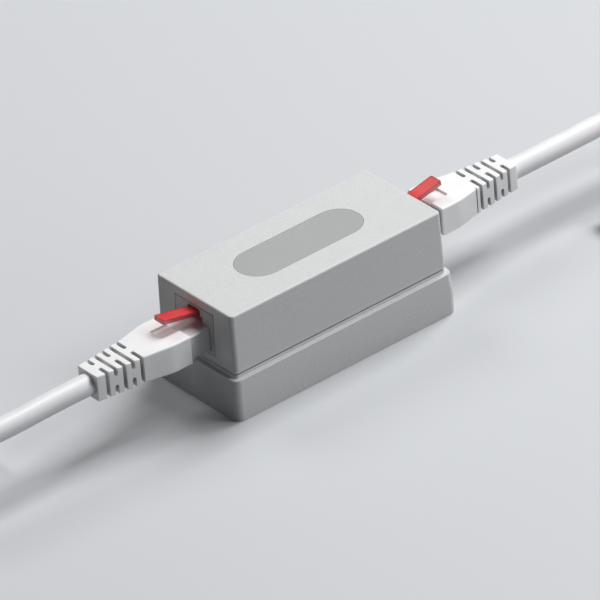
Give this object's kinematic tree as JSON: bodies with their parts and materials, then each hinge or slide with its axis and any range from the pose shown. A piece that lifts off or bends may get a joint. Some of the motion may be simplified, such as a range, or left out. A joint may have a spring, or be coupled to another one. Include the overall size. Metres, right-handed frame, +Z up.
{
  "type": "network isolator",
  "caption": "In-line network isolator: a two-part plastic housing with a modular jack at each end, and a short patch lead with a red latch and slotted boot plugged into each.",
  "frame": {"origin": "middle of the housing's underside", "axes": "+X along the housing towards the right jack, +Z up from the underside"},
  "size_m": [0.3866, 0.0522, 0.0309],
  "materials": {
    "housing": "fine matt texture",
    "label": "satin film",
    "board": "solder resist",
    "jack": "moulded",
    "gold": "gold plated",
    "clear_plug": "clear moulded",
    "latch": "tinted clear",
    "boot": "satin moulded",
    "cable": "satin jacket",
    "moulded_case": "moulded",
    "ceramic": "dipped coat",
    "steel": "zinc plated"
  },
  "bodies": {
    "isolator": {"base": "housing", "cover": "housing", "label_plate": "label", "circuit_board": "board", "isolation_transformer_1": "moulded_case", "isolation_transformer_2": "moulded_case", "isolation_transformer_3": "moulded_case", "isolation_transformer_4": "moulded_case", "isolation_capacitor_1": "ceramic", "isolation_capacitor_2": "ceramic", "resistor_pack_1": "moulded_case", "resistor_pack_2": "moulded_case", "housing_screw_1": "steel", "housing_screw_2": "steel", "housing_screw_3": "steel", "housing_screw_4": "steel", "board_screw_1": "steel", "board_screw_2": "steel", "jack_housing_left": "jack", "jack_contacts_left": "gold", "plug_body_left": "clear_plug", "plug_contacts_left": "gold", "boot_left": "boot", "far_plug_body_left": "clear_plug", "far_plug_contacts_left": "gold", "far_boot_left": "boot", "cable_left": "cable", "jack_housing_right": "jack", "jack_contacts_right": "gold", "plug_body_right": "clear_plug", "plug_contacts_right": "gold", "boot_right": "boot", "far_plug_body_right": "clear_plug", "far_plug_contacts_right": "gold", "far_boot_right": "boot", "cable_right": "cable"},
    "left_latch": {"latch_left": "latch"},
    "left_far_latch": {"far_latch_left": "latch"},
    "right_latch": {"latch_right": "latch"},
    "right_far_latch": {"far_latch_right": "latch"}
  },
  "joints": [
    {"name": "left_latch_press", "type": "hinge", "parent": "isolator", "child": "left_latch", "pos_m": [-0.0257, 0, 0.02445], "axis": [0, -1, 0], "range_deg": [0, 9], "stiffness_Nm_per_rad": 0.3},
    {"name": "left_far_latch_press", "type": "hinge", "parent": "isolator", "child": "left_far_latch", "pos_m": [-0.0936, 0.0185, 0.00825], "axis": [0, -1, 0], "range_deg": [0, 9], "stiffness_Nm_per_rad": 0.3},
    {"name": "right_latch_press", "type": "hinge", "parent": "isolator", "child": "right_latch", "pos_m": [0.0257, 0, 0.02445], "axis": [0, 1, 0], "range_deg": [0, 9], "stiffness_Nm_per_rad": 0.3},
    {"name": "right_far_latch_press", "type": "hinge", "parent": "isolator", "child": "right_far_latch", "pos_m": [0.0936, -0.0185, 0.00825], "axis": [0, 1, 0], "range_deg": [0, 9], "stiffness_Nm_per_rad": 0.3}
  ]
}
